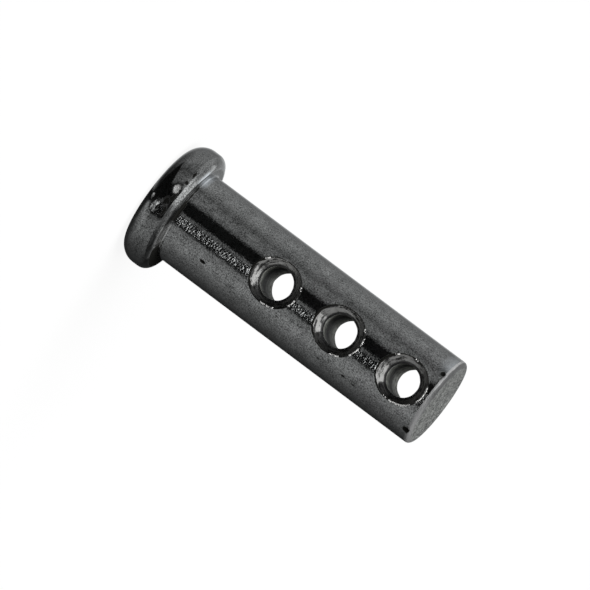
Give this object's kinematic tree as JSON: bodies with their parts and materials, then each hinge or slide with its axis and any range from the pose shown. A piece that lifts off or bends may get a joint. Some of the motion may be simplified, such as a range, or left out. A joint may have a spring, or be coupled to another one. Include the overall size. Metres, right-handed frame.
{
  "type": "clevis pin",
  "caption": "Round steel clevis pin with a flat round head, rounded rim and a row of dished cross holes along the shaft for a cotter.",
  "frame": {"origin": "centre of the head's flat outer face, which the pin stands on", "axes": "+Z along the shaft's axis from the head to the free end, Y along the cross holes"},
  "size_m": [0.011, 0.011, 0.0282],
  "materials": {
    "plated_steel": "dark satin zinc, fine mottled grain"
  },
  "bodies": {
    "root": {"clevis_pin": "plated_steel"}
  },
  "joints": []
}
